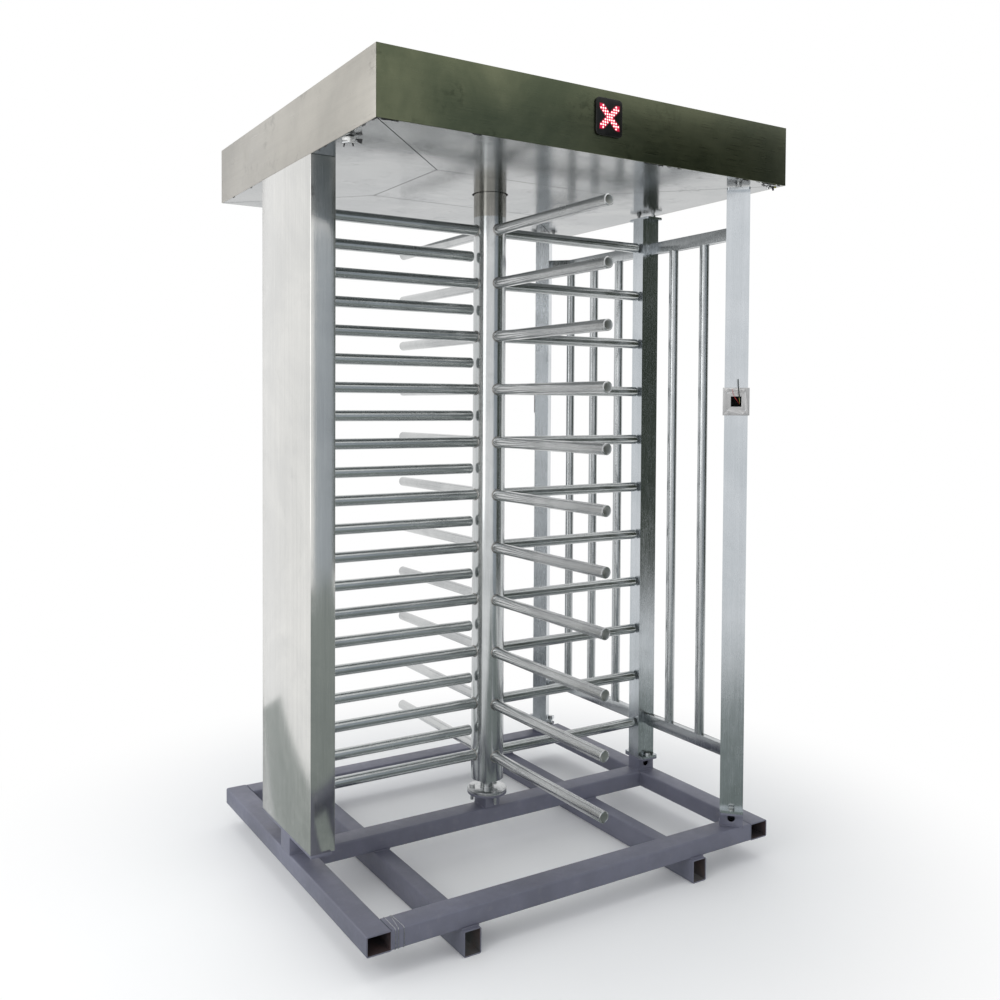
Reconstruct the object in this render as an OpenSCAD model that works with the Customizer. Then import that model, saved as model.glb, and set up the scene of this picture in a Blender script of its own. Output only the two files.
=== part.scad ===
// Full-height turnstile on a welded base frame.
// The rotor axis stands at X = 0, Y = 0 and the skids rest on Z = 0.
// +X runs to the right along the front fascia, +Y to the back, +Z up.

/* [Base frame] */
// width of the base frame and of the canopy
frame_w = 1580; // [1540:10:1800]
// depth of the base frame, front to back
frame_d = 1276; // [1276:10:1400]
// width of the beam tube, seen from above
beam_w = 80; // [80:5:100]
// height of the beam tube
beam_h = 60; // [50:5:80]
// wall of the beam and skid tubes
beam_wall = 4; // [3:0.5:6]
// distance of each skid's axis from the rotor axis
skid_offset = 452; // [380:10:520]
// width of the skid tube
skid_w = 60; // [50:5:80]
// height of the skid tube
skid_h = 80; // [60:5:100]
// length by which each skid end passes the frame
skid_over = 14; // [5:1:40]

/* [Pedestals] */
// height of the painted pedestal under each post
pedestal_h = 54; // [40:2:80]
// height of the painted pedestal under the cabinet
cabinet_pedestal_h = 68; // [50:2:90]
// thickness of each pedestal's top plate
pedestal_plate = 8; // [6:1:12]
// wall of the pedestal tubes
pedestal_wall = 4; // [3:0.5:6]
// access hole in the face of a corner pedestal
pedestal_hole_d = 26; // [16:1:30]
// length of the cabinet's pedestal along the beam
cabinet_stub = 80; // [60:5:120]
// length by which the cabinet's plate passes it at each end
cabinet_plate_over = 8; // [4:1:20]
// length by which the cabinet's plate stops short of its inner face
cabinet_plate_inset = 12; // [6:1:20]

/* [Cabinet and comb] */
// thickness of the cabinet along X
cabinet_w = 84; // [60:2:84]
// depth of the cabinet along Y
cabinet_d = 444; // [380:4:520]
// sheet thickness of the cabinet
cabinet_wall = 3; // [2:0.5:5]
// diameter of each comb bar
comb_d = 38; // [30:1:42]
// gap between the comb bar ends and the rotor column
comb_gap = 14; // [8:1:40]
// radius of the rounded edge at a comb bar's end
comb_round = 8; // [4:1:14]

/* [Posts] */
// broad side of the post tube
post_w = 80; // [60:5:80]
// narrow side of the post tube
post_d = 60; // [50:5:60]
// wall of the post tubes
post_wall = 4; // [3:0.5:6]
// thickness of the flange plates
flange_t = 9; // [6:1:14]
// length by which a flange passes the post at each bolted end
flange_over = 26; // [22:1:30]
// corner radius of the flange plates
flange_r = 8; // [4:1:12]
// diameter of the cable hole in each flange
flange_hole_d = 30; // [20:1:36]
// distance of the corner posts' axes from the rotor axis along X
corner_x = 658; // [640:2:670]
// distance of the corner posts' axes from the rotor axis along Y
corner_y = 594; // [580:2:600]
// gap between the soffit and the top flanges
head_gap = 14; // [10:1:30]
// gap under the rear post's flange, held by its levelling studs
level_gap = 18; // [10:1:30]
// diameter of the flange bolts
bolt_d = 12; // [8:1:14]

/* [Guards] */
// height of each guard rail
rail_h = 45; // [35:1:60]
// thickness of each guard rail
rail_t = 25; // [20:1:30]
// diameter of each guard bar
guard_bar_d = 36; // [28:1:38]
// number of bars in each guard panel
guard_bars = 3; // [2:1:4]
// length of the joiner between the middle post and each guard rail
joiner_len = 18; // [10:1:30]
// step from a guard rail's faces in to its joiner's
joiner_step = 3; // [2:0.5:5]
// height of the lower rails' underside above the deck
rail_low = 190; // [150:5:300]
// distance of the upper rails' top below the soffit
rail_drop = 120; // [90:5:200]

/* [Rotor] */
// outside diameter of the rotor column
rotor_d = 120; // [110:2:130]
// diameter of each arm
arm_d = 38; // [30:1:42]
// reach of the arms from the rotor axis
arm_reach = 698; // [640:2:698]
// number of arms in each wing
arm_count = 11; // [8:1:11]
// height between one arm and the next
arm_pitch = 193; // [170:1:194]
// distance of the top arm's axis below the soffit
arm_drop = 136; // [120:2:160]
// distance of the sleeve's lower edge below the soffit
sleeve_drop = 87; // [60:1:90]
// distance of the rotor column's foot above the deck
column_lift = 102; // [90:1:120]
// diameter of the rotor spindle
spindle_d = 50; // [40:1:56]
// diameter of the round foot flange
foot_flange_d = 146; // [130:2:150]
// thickness of the round foot flange
foot_flange_t = 10; // [8:1:14]
// radius of the circle of studs in the foot flange
foot_stud_r = 56; // [54:1:60]
// length of the foot studs below their plate
foot_stud_drop = 30; // [15:1:40]
// radial clearance of the spindles in their bearings
bearing_clear = 0.5; // [0.3:0.1:1]

/* [Canopy] */
// height of the soffit above the deck
soffit_h = 2260; // [2250:10:2320]
// height of the fascias
fascia_h = 200; // [180:5:240]
// depth of the canopy, front to back
canopy_d = 1376; // [1370:2:1480]
// sheet thickness of the canopy
sheet_t = 4; // [3:0.5:6]
// width of the soffit's centre panel
centre_w = 712; // [600:4:800]
// depth of the soffit's centre panel
centre_d = 480; // [400:4:560]
// seam between the soffit panels
seam = 3; // [1:0.5:5]
// gap round the rotor column in the centre panel
collar_gap = 6; // [5:0.5:12]
// height of the hidden head frame
head_h = 50; // [40:2:80]
// width of the hidden head frame's bars
head_w = 60; // [50:2:80]
// lift of the lid's middle above its edges
lid_bead = 3; // [2:0.5:6]

/* [Sign and reader] */
// width of the sign housing
sign_w = 102; // [80:2:140]
// height of the sign's centre above the soffit
sign_lift = 116; // [80:1:130]
// height of the sign housing
sign_h = 116; // [90:2:150]
// thickness of the sign housing
sign_t = 8; // [5:1:14]
// corner radius of the sign housing
sign_r = 14; // [6:1:24]
// diameter of each lamp in the sign
lamp_d = 3.4; // [2:0.2:5]
// spacing of the lamps
lamp_pitch = 8.4; // [6:0.2:10]
// width of the reader plate
reader_w = 91; // [84:1:100]
// height of the reader plate
reader_h = 97; // [90:1:110]
// thickness of the reader plate
reader_t = 3; // [2:0.5:5]
// side of the square cable opening
reader_hole = 36; // [26:1:40]
// spacing of the four small screw holes
reader_pitch = 60; // [54:1:62]
// diameter of the small screw holes
reader_screw_d = 4; // [3:0.5:5]
// height of the reader plate's centre above the deck
reader_z = 1504; // [1100:4:1700]

/* [Hidden] */
$fn = 96;
eps = 0.5;
deck = skid_h + beam_h;
soffit_z = deck + soffit_h;
roof_z = soffit_z + fascia_h;
half_w = frame_w / 2;
half_d = frame_d / 2;
inner_w = frame_w - 2 * beam_w;
cabinet_x = -half_w;
cabinet_z = deck + cabinet_pedestal_h;
cabinet_face = cabinet_x + cabinet_w;
middle_x = half_w - post_w - 4;
flange_z = deck + pedestal_h;
post_z = flange_z + flange_t;
post_top = soffit_z - head_gap - flange_t;
rail_x = middle_x + post_w / 2;
rail_top_z = soffit_z - rail_drop - rail_h;
rail_low_z = deck + rail_low;
arm_top_z = soffit_z - arm_drop;
column_z = deck + column_lift;
spindle_gap = 2;
journal_top = soffit_z + head_h + 18;
journal_z = soffit_z + sheet_t;
lamp_n = 4;
sign_z = soffit_z + sign_lift;
steel = [0.78, 0.79, 0.8];
paint = [0.3, 0.31, 0.36];
dark = [0.05, 0.05, 0.05];
red = [0.9, 0.1, 0.15];

// rectangular tube lying along Y
module tube_y(w, h, len, wall) {
  difference() {
    translate([-w / 2, -len / 2, 0]) cube([w, len, h]);
    translate([-w / 2 + wall, -len / 2 - eps, wall])
      cube([w - 2 * wall, len + 2 * eps, h - 2 * wall]);
  }
}

// upright rectangular tube with a closed top plate of the same outline
module pedestal(w, d, h) {
  difference() {
    translate([-w / 2, -d / 2, 0]) cube([w, d, h - pedestal_plate]);
    translate([-w / 2 + pedestal_wall, -d / 2 + pedestal_wall, -eps])
      cube([w - 2 * pedestal_wall, d - 2 * pedestal_wall, h - pedestal_plate + 2 * eps]);
  }
}

// plate with rounded corners
module round_plate(w, d, t, r) {
  linear_extrude(t) {
    square([w - 2 * r, d], center = true);
    square([w, d - 2 * r], center = true);
    for (sx = [-1, 1])
      for (sy = [-1, 1])
        translate([sx * (w / 2 - r), sy * (d / 2 - r)]) circle(r);
  }
}

// flange plate, longer than the post along its narrow side
module flange() {
  difference() {
    round_plate(post_w, post_d + 2 * flange_over, flange_t, flange_r);
    translate([0, 0, -eps]) cylinder(d = flange_hole_d, h = flange_t + 2 * eps);
  }
}

// post tube with a flange at each end, broad side along X
module post() {
  difference() {
    translate([-post_w / 2, -post_d / 2, post_z]) cube([post_w, post_d, post_top - post_z]);
    translate([-post_w / 2 + post_wall, -post_d / 2 + post_wall, post_z - eps])
      cube([post_w - 2 * post_wall, post_d - 2 * post_wall, post_top - post_z + 2 * eps]);
  }
  translate([0, 0, flange_z]) flange();
  translate([0, 0, post_top]) flange();
}

// places a child at each corner post, broad side facing out of the corner
module at_front_corner() {
  translate([corner_x, -corner_y, 0]) rotate([0, 0, -45]) children();
}

module at_rear_corner() {
  translate([corner_x, corner_y, 0]) rotate([0, 0, 45]) children();
}

module beam_left() {
  color(paint) translate([-half_w + beam_w / 2, 0, skid_h]) tube_y(beam_w, beam_h, frame_d, beam_wall);
}

module beam_right() {
  color(paint) translate([half_w - beam_w / 2, 0, skid_h]) tube_y(beam_w, beam_h, frame_d, beam_wall);
}

module cross_beam(y) {
  color(paint) translate([0, y, skid_h]) rotate([0, 0, 90]) tube_y(beam_w, beam_h, inner_w, beam_wall);
}

module beam_front() {
  cross_beam(-half_d + beam_w / 2);
}

module beam_middle() {
  cross_beam(0);
}

module beam_rear() {
  cross_beam(half_d - beam_w / 2);
}

module skid_left() {
  color(paint) translate([-skid_offset, 0, 0])
    tube_y(skid_w, skid_h, frame_d + 2 * skid_over, beam_wall);
}

module skid_right() {
  color(paint) translate([skid_offset, 0, 0])
    tube_y(skid_w, skid_h, frame_d + 2 * skid_over, beam_wall);
}

module cabinet_pedestal() {
  w = cabinet_w - cabinet_plate_inset;
  color(paint) {
    translate([cabinet_x + beam_w / 2, 0, deck]) pedestal(beam_w, cabinet_stub, cabinet_pedestal_h);
    translate([cabinet_x, -cabinet_d / 2 - cabinet_plate_over, cabinet_z - pedestal_plate])
      cube([w, cabinet_d + 2 * cabinet_plate_over, pedestal_plate]);
    translate([cabinet_x, -cabinet_stub / 2, cabinet_z - pedestal_plate])
      cube([beam_w, cabinet_stub, pedestal_plate]);
  }
}

module rotor_pedestal() {
  color(paint) difference() {
    union() {
      translate([0, 0, deck]) pedestal(post_d, beam_w, pedestal_h);
      translate([0, 0, flange_z - pedestal_plate]) cylinder(d = foot_flange_d, h = pedestal_plate);
    }
    foot_stud_holes(flange_z - pedestal_plate, pedestal_plate);
  }
}

// painted post pedestal with a plate under the post's flange and an access hole at the front
module post_pedestal(h) {
  plate_z = h - pedestal_plate;
  difference() {
    pedestal(post_w, post_d, h);
    translate([0, -post_d / 2 - eps, plate_z * 0.62]) rotate([-90, 0, 0])
      cylinder(d = pedestal_hole_d, h = pedestal_wall + 2 * eps);
  }
  translate([0, 0, plate_z])
    round_plate(post_w, post_d + 2 * flange_over, pedestal_plate, flange_r);
}

module front_pedestal() {
  color(paint) at_front_corner() translate([0, 0, deck]) post_pedestal(pedestal_h);
}

module middle_pedestal() {
  color(paint) translate([rail_x, 0, deck]) post_pedestal(pedestal_h);
}

module rear_pedestal() {
  color(paint) at_rear_corner() translate([0, 0, deck]) post_pedestal(pedestal_h - level_gap);
}

module cabinet() {
  h = soffit_z - cabinet_z;
  color(steel) difference() {
    translate([cabinet_x, -cabinet_d / 2, cabinet_z]) cube([cabinet_w, cabinet_d, h]);
    translate([cabinet_x + cabinet_wall, -cabinet_d / 2 + cabinet_wall, cabinet_z - eps])
      cube([cabinet_w - 2 * cabinet_wall, cabinet_d - 2 * cabinet_wall, h - cabinet_wall + eps]);
  }
}

// one comb bar from the cabinet face to the rotor, rounded at its end
module comb_bar(z) {
  len = -cabinet_face - rotor_d / 2 - comb_gap;
  translate([cabinet_face, 0, z]) rotate([0, 90, 0]) rotate_extrude()
    union() {
      square([comb_d / 2, len - comb_round]);
      square([comb_d / 2 - comb_round, len]);
      translate([comb_d / 2 - comb_round, len - comb_round]) intersection() {
        circle(comb_round);
        square(comb_round);
      }
    }
}

module comb() {
  color(steel) for (k = [0 : arm_count - 2])
    comb_bar(arm_top_z - arm_pitch * (k + 0.5));
}

module front_post() {
  hole_z = deck + reader_z;
  color(steel) at_front_corner() difference() {
    post();
    translate([-reader_hole / 2, -post_d / 2 - eps, hole_z - reader_hole / 2])
      cube([reader_hole, post_wall + 2 * eps, reader_hole]);
  }
}

module middle_post() {
  color(steel) translate([rail_x, 0, 0]) post();
}

module rear_post() {
  hole_z = deck + reader_z;
  color(steel) at_rear_corner() difference() {
    post();
    translate([-reader_hole / 2, post_d / 2 - post_wall - eps, hole_z - reader_hole / 2])
      cube([reader_hole, post_wall + 2 * eps, reader_hole]);
  }
}

// outline of a guard rail, straight along Y and bent at 45 degrees to the corner post
module rail_outline() {
  bend_y = corner_y - (rail_x - corner_x);
  run = (rail_x - corner_x) * sqrt(2) - post_d / 2;
  k = rail_t / 2 * tan(22.5);
  q = rail_t / 2 / sqrt(2);
  end = [-run / sqrt(2), bend_y + run / sqrt(2)];
  start_y = post_d / 2 + joiner_len;
  polygon([
    [-rail_t / 2, start_y], [rail_t / 2, start_y], [rail_t / 2, bend_y + k],
    end + [q, q], end - [q, q], [-rail_t / 2, bend_y - k]
  ]);
}

// guard panel behind the middle post, from its rear face to the rear corner post
module guard() {
  bend_y = corner_y - (rail_x - corner_x);
  bars_z = rail_low_z + rail_h;
  inner = [rail_t - 2 * joiner_step, joiner_len, rail_h - 2 * joiner_step];
  translate([rail_x, 0, 0]) {
    for (z = [rail_low_z, rail_top_z]) {
      translate([0, 0, z]) linear_extrude(rail_h) rail_outline();
      translate([-inner[0] / 2, post_d / 2, z + joiner_step]) cube(inner);
    }
    for (k = [1 : guard_bars])
      translate([0, bend_y * k / guard_bars, bars_z])
        cylinder(d = guard_bar_d, h = rail_top_z - bars_z);
  }
}

module front_guard() {
  color(steel) mirror([0, 1, 0]) guard();
}

module rear_guard() {
  color(steel) guard();
}

// places a child at each stud of the foot flange
module at_foot_studs() {
  for (a = [30 : 120 : 270])
    rotate([0, 0, a]) translate([foot_stud_r, 0, 0]) children();
}

// holes for the foot studs through a plate
module foot_stud_holes(z, t) {
  at_foot_studs() translate([0, 0, z - eps]) cylinder(d = bolt_d, h = t + 2 * eps);
}

module foot_flange() {
  color(steel) difference() {
    translate([0, 0, flange_z]) cylinder(d = foot_flange_d, h = foot_flange_t);
    cylinder(d = spindle_d + 2 * bearing_clear, h = column_z);
    foot_stud_holes(flange_z, foot_flange_t);
  }
}

// places a child over the middle of each end of a post's flange
module at_flange_ends() {
  for (s = [-1, 1])
    translate([0, s * (post_d / 2 + flange_over / 2), 0]) children();
}

// hexagon-headed bolt standing on a face, with its washer
module hex_bolt() {
  cylinder(d = bolt_d * 2 - 2, h = 2);
  translate([0, 0, 2]) cylinder(d = bolt_d * 1.7, h = bolt_d * 0.62, $fn = 6);
}

module foot_bolts() {
  color(steel) {
    at_foot_studs() {
      translate([0, 0, flange_z - pedestal_plate - foot_stud_drop])
        cylinder(d = bolt_d, h = foot_stud_drop + pedestal_plate + foot_flange_t);
      translate([0, 0, flange_z + foot_flange_t]) hex_bolt();
    }
    at_front_corner() at_flange_ends() translate([0, 0, post_z]) hex_bolt();
    translate([rail_x, 0, post_z]) at_flange_ends() hex_bolt();
    at_rear_corner() at_flange_ends() {
      translate([0, 0, post_z]) hex_bolt();
      translate([0, 0, flange_z - level_gap]) {
        cylinder(d = bolt_d, h = level_gap);
        cylinder(d = bolt_d * 1.7, h = bolt_d * 0.5, $fn = 6);
      }
    }
  }
}

// stud and nut between a top flange and the soffit
module head_stud() {
  cylinder(d = bolt_d, h = head_gap);
  cylinder(d = bolt_d * 1.7, h = bolt_d * 0.62, $fn = 6);
}

module head_bolts() {
  z = post_top + flange_t;
  color(steel) {
    at_front_corner() at_flange_ends() translate([0, 0, z]) head_stud();
    at_rear_corner() at_flange_ends() translate([0, 0, z]) head_stud();
    translate([rail_x, 0, z]) at_flange_ends() head_stud();
  }
}

// mitred fascia of outside length w, standing on its outer face at Y = 0
module fascia(w) {
  linear_extrude(fascia_h)
    polygon([[-w / 2, 0], [w / 2, 0], [w / 2 - sheet_t, sheet_t], [-w / 2 + sheet_t, sheet_t]]);
}

module fascia_front() {
  color(steel) translate([0, -canopy_d / 2, soffit_z]) fascia(frame_w);
}

module fascia_rear() {
  color(steel) translate([0, canopy_d / 2, soffit_z]) rotate([0, 0, 180]) fascia(frame_w);
}

module fascia_left() {
  color(steel) translate([-half_w, 0, soffit_z]) rotate([0, 0, -90]) fascia(canopy_d);
}

module fascia_right() {
  color(steel) translate([half_w, 0, soffit_z]) rotate([0, 0, 90]) fascia(canopy_d);
}

module lid() {
  w = frame_w - 2 * sheet_t;
  d = canopy_d - 2 * sheet_t;
  color(steel) {
    translate([-w / 2, -d / 2, roof_z - sheet_t - lid_bead]) cube([w, d, sheet_t]);
    translate([-w / 3, -d / 3, roof_z - lid_bead]) cube([w * 2 / 3, d * 2 / 3, lid_bead]);
  }
}

// soffit panel between the fascia and the centre panel, seen with its outer edge at Y = 0
module soffit(outer, inner, depth) {
  k = (outer - inner) / 2 / depth;
  s = seam / 2 * sqrt(1 + k * k);
  linear_extrude(sheet_t)
    polygon([
      [-outer / 2 + s, 0], [outer / 2 - s, 0],
      [inner / 2 + k * seam / 2 - s, depth - seam / 2],
      [-inner / 2 - k * seam / 2 + s, depth - seam / 2]
    ]);
}

module soffit_front() {
  d = canopy_d / 2 - sheet_t;
  color(steel) translate([0, -d, soffit_z])
    soffit(frame_w - 2 * sheet_t, centre_w, d - centre_d / 2);
}

module soffit_rear() {
  d = canopy_d / 2 - sheet_t;
  color(steel) translate([0, d, soffit_z]) rotate([0, 0, 180])
    soffit(frame_w - 2 * sheet_t, centre_w, d - centre_d / 2);
}

module soffit_left() {
  d = half_w - sheet_t;
  color(steel) translate([-d, 0, soffit_z]) rotate([0, 0, -90])
    soffit(canopy_d - 2 * sheet_t, centre_d, d - centre_w / 2);
}

module soffit_right() {
  d = half_w - sheet_t;
  color(steel) translate([d, 0, soffit_z]) rotate([0, 0, 90])
    soffit(canopy_d - 2 * sheet_t, centre_d, d - centre_w / 2);
}

module soffit_centre() {
  w = centre_w - seam;
  d = centre_d - seam;
  color(steel) translate([0, 0, soffit_z]) difference() {
    translate([-w / 2, -d / 2, 0]) cube([w, d, sheet_t]);
    translate([0, 0, -eps]) cylinder(d = rotor_d + 2 * collar_gap, h = sheet_t + 2 * eps);
  }
}

// hidden frame over the soffit seams, with the bearing plate that carries the rotor
module head_frame() {
  w = frame_w - 2 * sheet_t;
  d = canopy_d - 2 * sheet_t;
  dx = w / 2 - centre_w / 2;
  dy = d / 2 - centre_d / 2;
  color(paint) translate([0, 0, soffit_z + sheet_t]) {
    linear_extrude(head_h) difference() {
      intersection() {
        square([w, d], center = true);
        union() {
          square([centre_w + head_w, centre_d + head_w], center = true);
          for (sx = [-1, 1])
            for (sy = [-1, 1])
              translate([sx * centre_w / 2, sy * centre_d / 2])
                rotate(atan2(sy * dy, sx * dx)) translate([0, -head_w / 2]) square([w, head_w]);
        }
      }
      square([centre_w - head_w, centre_d - head_w], center = true);
    }
    difference() {
      translate([-(centre_w - head_w) / 2, -head_w * 1.5, head_h / 2])
        cube([centre_w - head_w, head_w * 3, head_h / 2]);
      cylinder(d = spindle_d + 2 * bearing_clear, h = fascia_h);
    }
  }
}

// sign housing with rounded corners, its back at Y = 0 and its face at -Y
module sign() {
  rotate([90, 0, 0]) round_plate(sign_w, sign_h, sign_t, sign_r);
}

// lamps of the lit cross, standing out of the sign's face
module lamps() {
  for (c = [-lamp_n : lamp_n])
    for (r = [-lamp_n : lamp_n])
      if (abs(abs(c) - abs(r)) < 1.5 && abs(c) + abs(r) < 2 * lamp_n)
        translate([c * lamp_pitch, -sign_t, r * lamp_pitch]) rotate([90, 0, 0])
          cylinder(d = lamp_d, h = 1.2, $fn = 24);
}

module sign_front() {
  color(dark) translate([0, -canopy_d / 2, sign_z]) sign();
}

module sign_rear() {
  color(dark) translate([0, canopy_d / 2, sign_z]) rotate([0, 0, 180]) sign();
}

module lamps_front() {
  color(red) translate([0, -canopy_d / 2, sign_z]) lamps();
}

module lamps_rear() {
  color(red) translate([0, canopy_d / 2, sign_z]) rotate([0, 0, 180]) lamps();
}

// reader plate with its cable opening and screw holes, its back at Y = 0
module reader_plate() {
  rotate([90, 0, 0]) difference() {
    translate([-reader_w / 2, -reader_h / 2, 0]) cube([reader_w, reader_h, reader_t]);
    translate([-reader_hole / 2, -reader_hole / 2, -eps])
      cube([reader_hole, reader_hole, reader_t + 2 * eps]);
    for (a = [45 : 90 : 315])
      rotate([0, 0, a]) translate([reader_pitch / sqrt(2), 0, -eps])
        cylinder(d = reader_screw_d, h = reader_t + 2 * eps);
  }
  for (sx = [-1, 1])
    for (sy = [-1, 1])
      translate([sx * reader_w * 0.3, -reader_t, sy * reader_h * 0.42]) rotate([90, 0, 0])
        cylinder(d = 8, h = 2.5);
}

module reader_front() {
  color(steel) at_front_corner() translate([0, -post_d / 2, deck + reader_z]) reader_plate();
}

module reader_rear() {
  color(steel) at_rear_corner() rotate([0, 0, 180]) translate([0, -post_d / 2, deck + reader_z])
    reader_plate();
}

module rotor_column() {
  top = soffit_z - sleeve_drop;
  color(steel) translate([0, 0, column_z]) cylinder(d = rotor_d, h = top - column_z);
}

module rotor_sleeve() {
  z = soffit_z - sleeve_drop;
  color(steel) translate([0, 0, z]) {
    cylinder(d = rotor_d - 1.5, h = 2);
    translate([0, 0, 2]) cylinder(d = rotor_d, h = sleeve_drop + sheet_t - 2);
  }
}

module rotor_spindle() {
  color(steel) {
    translate([0, 0, flange_z + spindle_gap]) cylinder(d = spindle_d, h = column_z - flange_z - spindle_gap);
    translate([0, 0, journal_z]) cylinder(d = spindle_d, h = journal_top - journal_z);
  }
}

// one wing of arms reaching along +X, coped to the rotor column
module wing() {
  cap = 2;
  difference() {
    for (k = [0 : arm_count - 1])
      translate([0, 0, arm_top_z - k * arm_pitch]) rotate([0, 90, 0]) {
        cylinder(d = arm_d, h = arm_reach - cap);
        translate([0, 0, arm_reach - cap]) cylinder(d1 = arm_d, d2 = arm_d - 2 * cap, h = cap);
      }
    translate([0, 0, deck]) cylinder(d = rotor_d, h = soffit_h);
  }
}

module wing_front() {
  color(steel) rotate([0, 0, -90]) wing();
}

module wing_left() {
  color(steel) rotate([0, 0, 180]) wing();
}

module wing_rear() {
  color(steel) rotate([0, 0, 90]) wing();
}

module wing_right() {
  color(steel) wing();
}

beam_left();
beam_right();
beam_front();
beam_middle();
beam_rear();
skid_left();
skid_right();
cabinet_pedestal();
rotor_pedestal();
front_pedestal();
middle_pedestal();
rear_pedestal();
cabinet();
comb();
front_post();
middle_post();
rear_post();
front_guard();
rear_guard();
foot_flange();
foot_bolts();
head_bolts();
fascia_front();
fascia_rear();
fascia_left();
fascia_right();
lid();
soffit_front();
soffit_rear();
soffit_left();
soffit_right();
soffit_centre();
head_frame();
sign_front();
sign_rear();
lamps_front();
lamps_rear();
reader_front();
reader_rear();
rotor_column();
rotor_sleeve();
rotor_spindle();
wing_front();
wing_left();
wing_rear();
wing_right();
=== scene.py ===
import bpy, bmesh, math, random
from mathutils import Vector, Matrix


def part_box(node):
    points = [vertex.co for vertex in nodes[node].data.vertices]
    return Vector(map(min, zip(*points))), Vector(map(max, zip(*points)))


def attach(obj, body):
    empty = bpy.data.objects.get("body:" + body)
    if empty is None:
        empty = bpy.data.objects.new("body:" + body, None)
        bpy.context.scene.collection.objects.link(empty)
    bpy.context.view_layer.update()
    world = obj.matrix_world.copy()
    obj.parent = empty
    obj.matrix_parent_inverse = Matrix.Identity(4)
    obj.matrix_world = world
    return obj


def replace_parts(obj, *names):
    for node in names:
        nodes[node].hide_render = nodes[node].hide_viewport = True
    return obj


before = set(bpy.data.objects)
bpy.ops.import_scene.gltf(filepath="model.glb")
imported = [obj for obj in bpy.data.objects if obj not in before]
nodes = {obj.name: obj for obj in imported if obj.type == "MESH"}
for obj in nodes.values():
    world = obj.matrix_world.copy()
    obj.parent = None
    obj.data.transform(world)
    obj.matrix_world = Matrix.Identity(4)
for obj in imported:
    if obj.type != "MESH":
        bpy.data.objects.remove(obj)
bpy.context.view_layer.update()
scene = bpy.context.scene
dice = random.Random(11)
print("frame loaded:", len(nodes), "nodes")

# places that several pieces share, all from the frame's own boxes
def boxOf(name):
    low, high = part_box(name)
    return Vector(low), Vector(high)

deckZ = boxOf("beam_left")[1].z
soffitZ = boxOf("soffit_centre")[0].z
roofZ = boxOf("fascia_front")[1].z
leftX, rightX = boxOf("fascia_left")[0].x, boxOf("fascia_right")[1].x
frontY, rearY = boxOf("fascia_front")[0].y, boxOf("fascia_rear")[1].y
columnR = boxOf("rotor_column")[1].x

# ---------------------------------------------------------------- camera first, then the reader's cords
cameraFit = {"place": (-1.9677, -3.1652, 1.6253), "turn": -31.331, "dip": 1.556, "roll": 0.291,
             "lens": 36.277, "shiftX": 0.0206, "shiftY": -0.067}

def makeCamera(s):
    turn, dip, roll = (math.radians(s[k]) for k in ("turn", "dip", "roll"))
    back = Vector((math.sin(turn) * math.cos(dip), -math.cos(turn) * math.cos(dip), math.sin(dip)))
    right = (-back).cross(Vector((0, 0, 1))).normalized()
    up = right.cross(-back)
    right, up = math.cos(roll) * right + math.sin(roll) * up, -math.sin(roll) * right + math.cos(roll) * up
    data = bpy.data.cameras.new("camera")
    data.lens, data.sensor_width = s["lens"], 36
    data.shift_x, data.shift_y = s["shiftX"], s["shiftY"]
    data.clip_start, data.clip_end = 0.05, 60
    camera = bpy.data.objects.new("camera", data)
    camera.matrix_world = Matrix.Translation(s["place"]) @ Matrix((right, up, back)).transposed().to_4x4()
    scene.collection.objects.link(camera)
    scene.camera = camera

makeCamera(cameraFit)

def addPiece(name, bm, body, slotName, *materials):
    # closes a bmesh into a piece that rides on a body
    mesh = bpy.data.meshes.new(name)
    bm.to_mesh(mesh)
    bm.free()
    for m in materials:
        mesh.materials.append(m)
    piece = bpy.data.objects.new(name, mesh)
    scene.collection.objects.link(piece)
    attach(piece, body)
    return piece

def shadeSmooth(bm, angle=0.6):
    # smooth shading except across real corners
    for f in bm.faces:
        f.smooth = True
    for e in bm.edges:
        e.smooth = not (len(e.link_faces) == 2 and e.calc_face_angle(0) > angle)

def wireMesh(name, points, radius, closed, slotName, *materials):
    # a round wire along the points, made a mesh
    data = bpy.data.curves.new(name, "CURVE")
    data.dimensions, data.bevel_depth, data.bevel_resolution, data.use_fill_caps = "3D", radius, 2, not closed
    line = data.splines.new("POLY")
    line.points.add(len(points) - 1)
    for p, q in zip(line.points, points):
        p.co = (*q, 1)
    line.use_cyclic_u = closed
    holder = bpy.data.objects.new(name + "_line", data)
    scene.collection.objects.link(holder)
    bpy.context.view_layer.update()
    mesh = bpy.data.meshes.new_from_object(holder.evaluated_get(bpy.context.evaluated_depsgraph_get()))
    bpy.data.objects.remove(holder)
    bm = bmesh.new()
    bm.from_mesh(mesh)
    bmesh.ops.recalc_face_normals(bm, faces=bm.faces)
    for f in bm.faces:
        f.smooth = True
    return addPiece(name, bm, "stand", slotName, *materials)

readerCords = {
    "wire_red": {"diameter": 0.0014, "out": 0.012, "ends": ((0.010, -0.008), (-0.013, 0.043)), "finish": "redWire"},
    "wire_yellow": {"diameter": 0.0014, "out": 0.013, "ends": ((0.0125, -0.009), (0.0085, 0.046)), "finish": "yellowWire"},
    "cable_dark": {"diameter": 0.0036, "out": 0.018, "ends": ((0.0135, -0.004), (0.006, 0.078)), "finish": "cable"},
}

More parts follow.
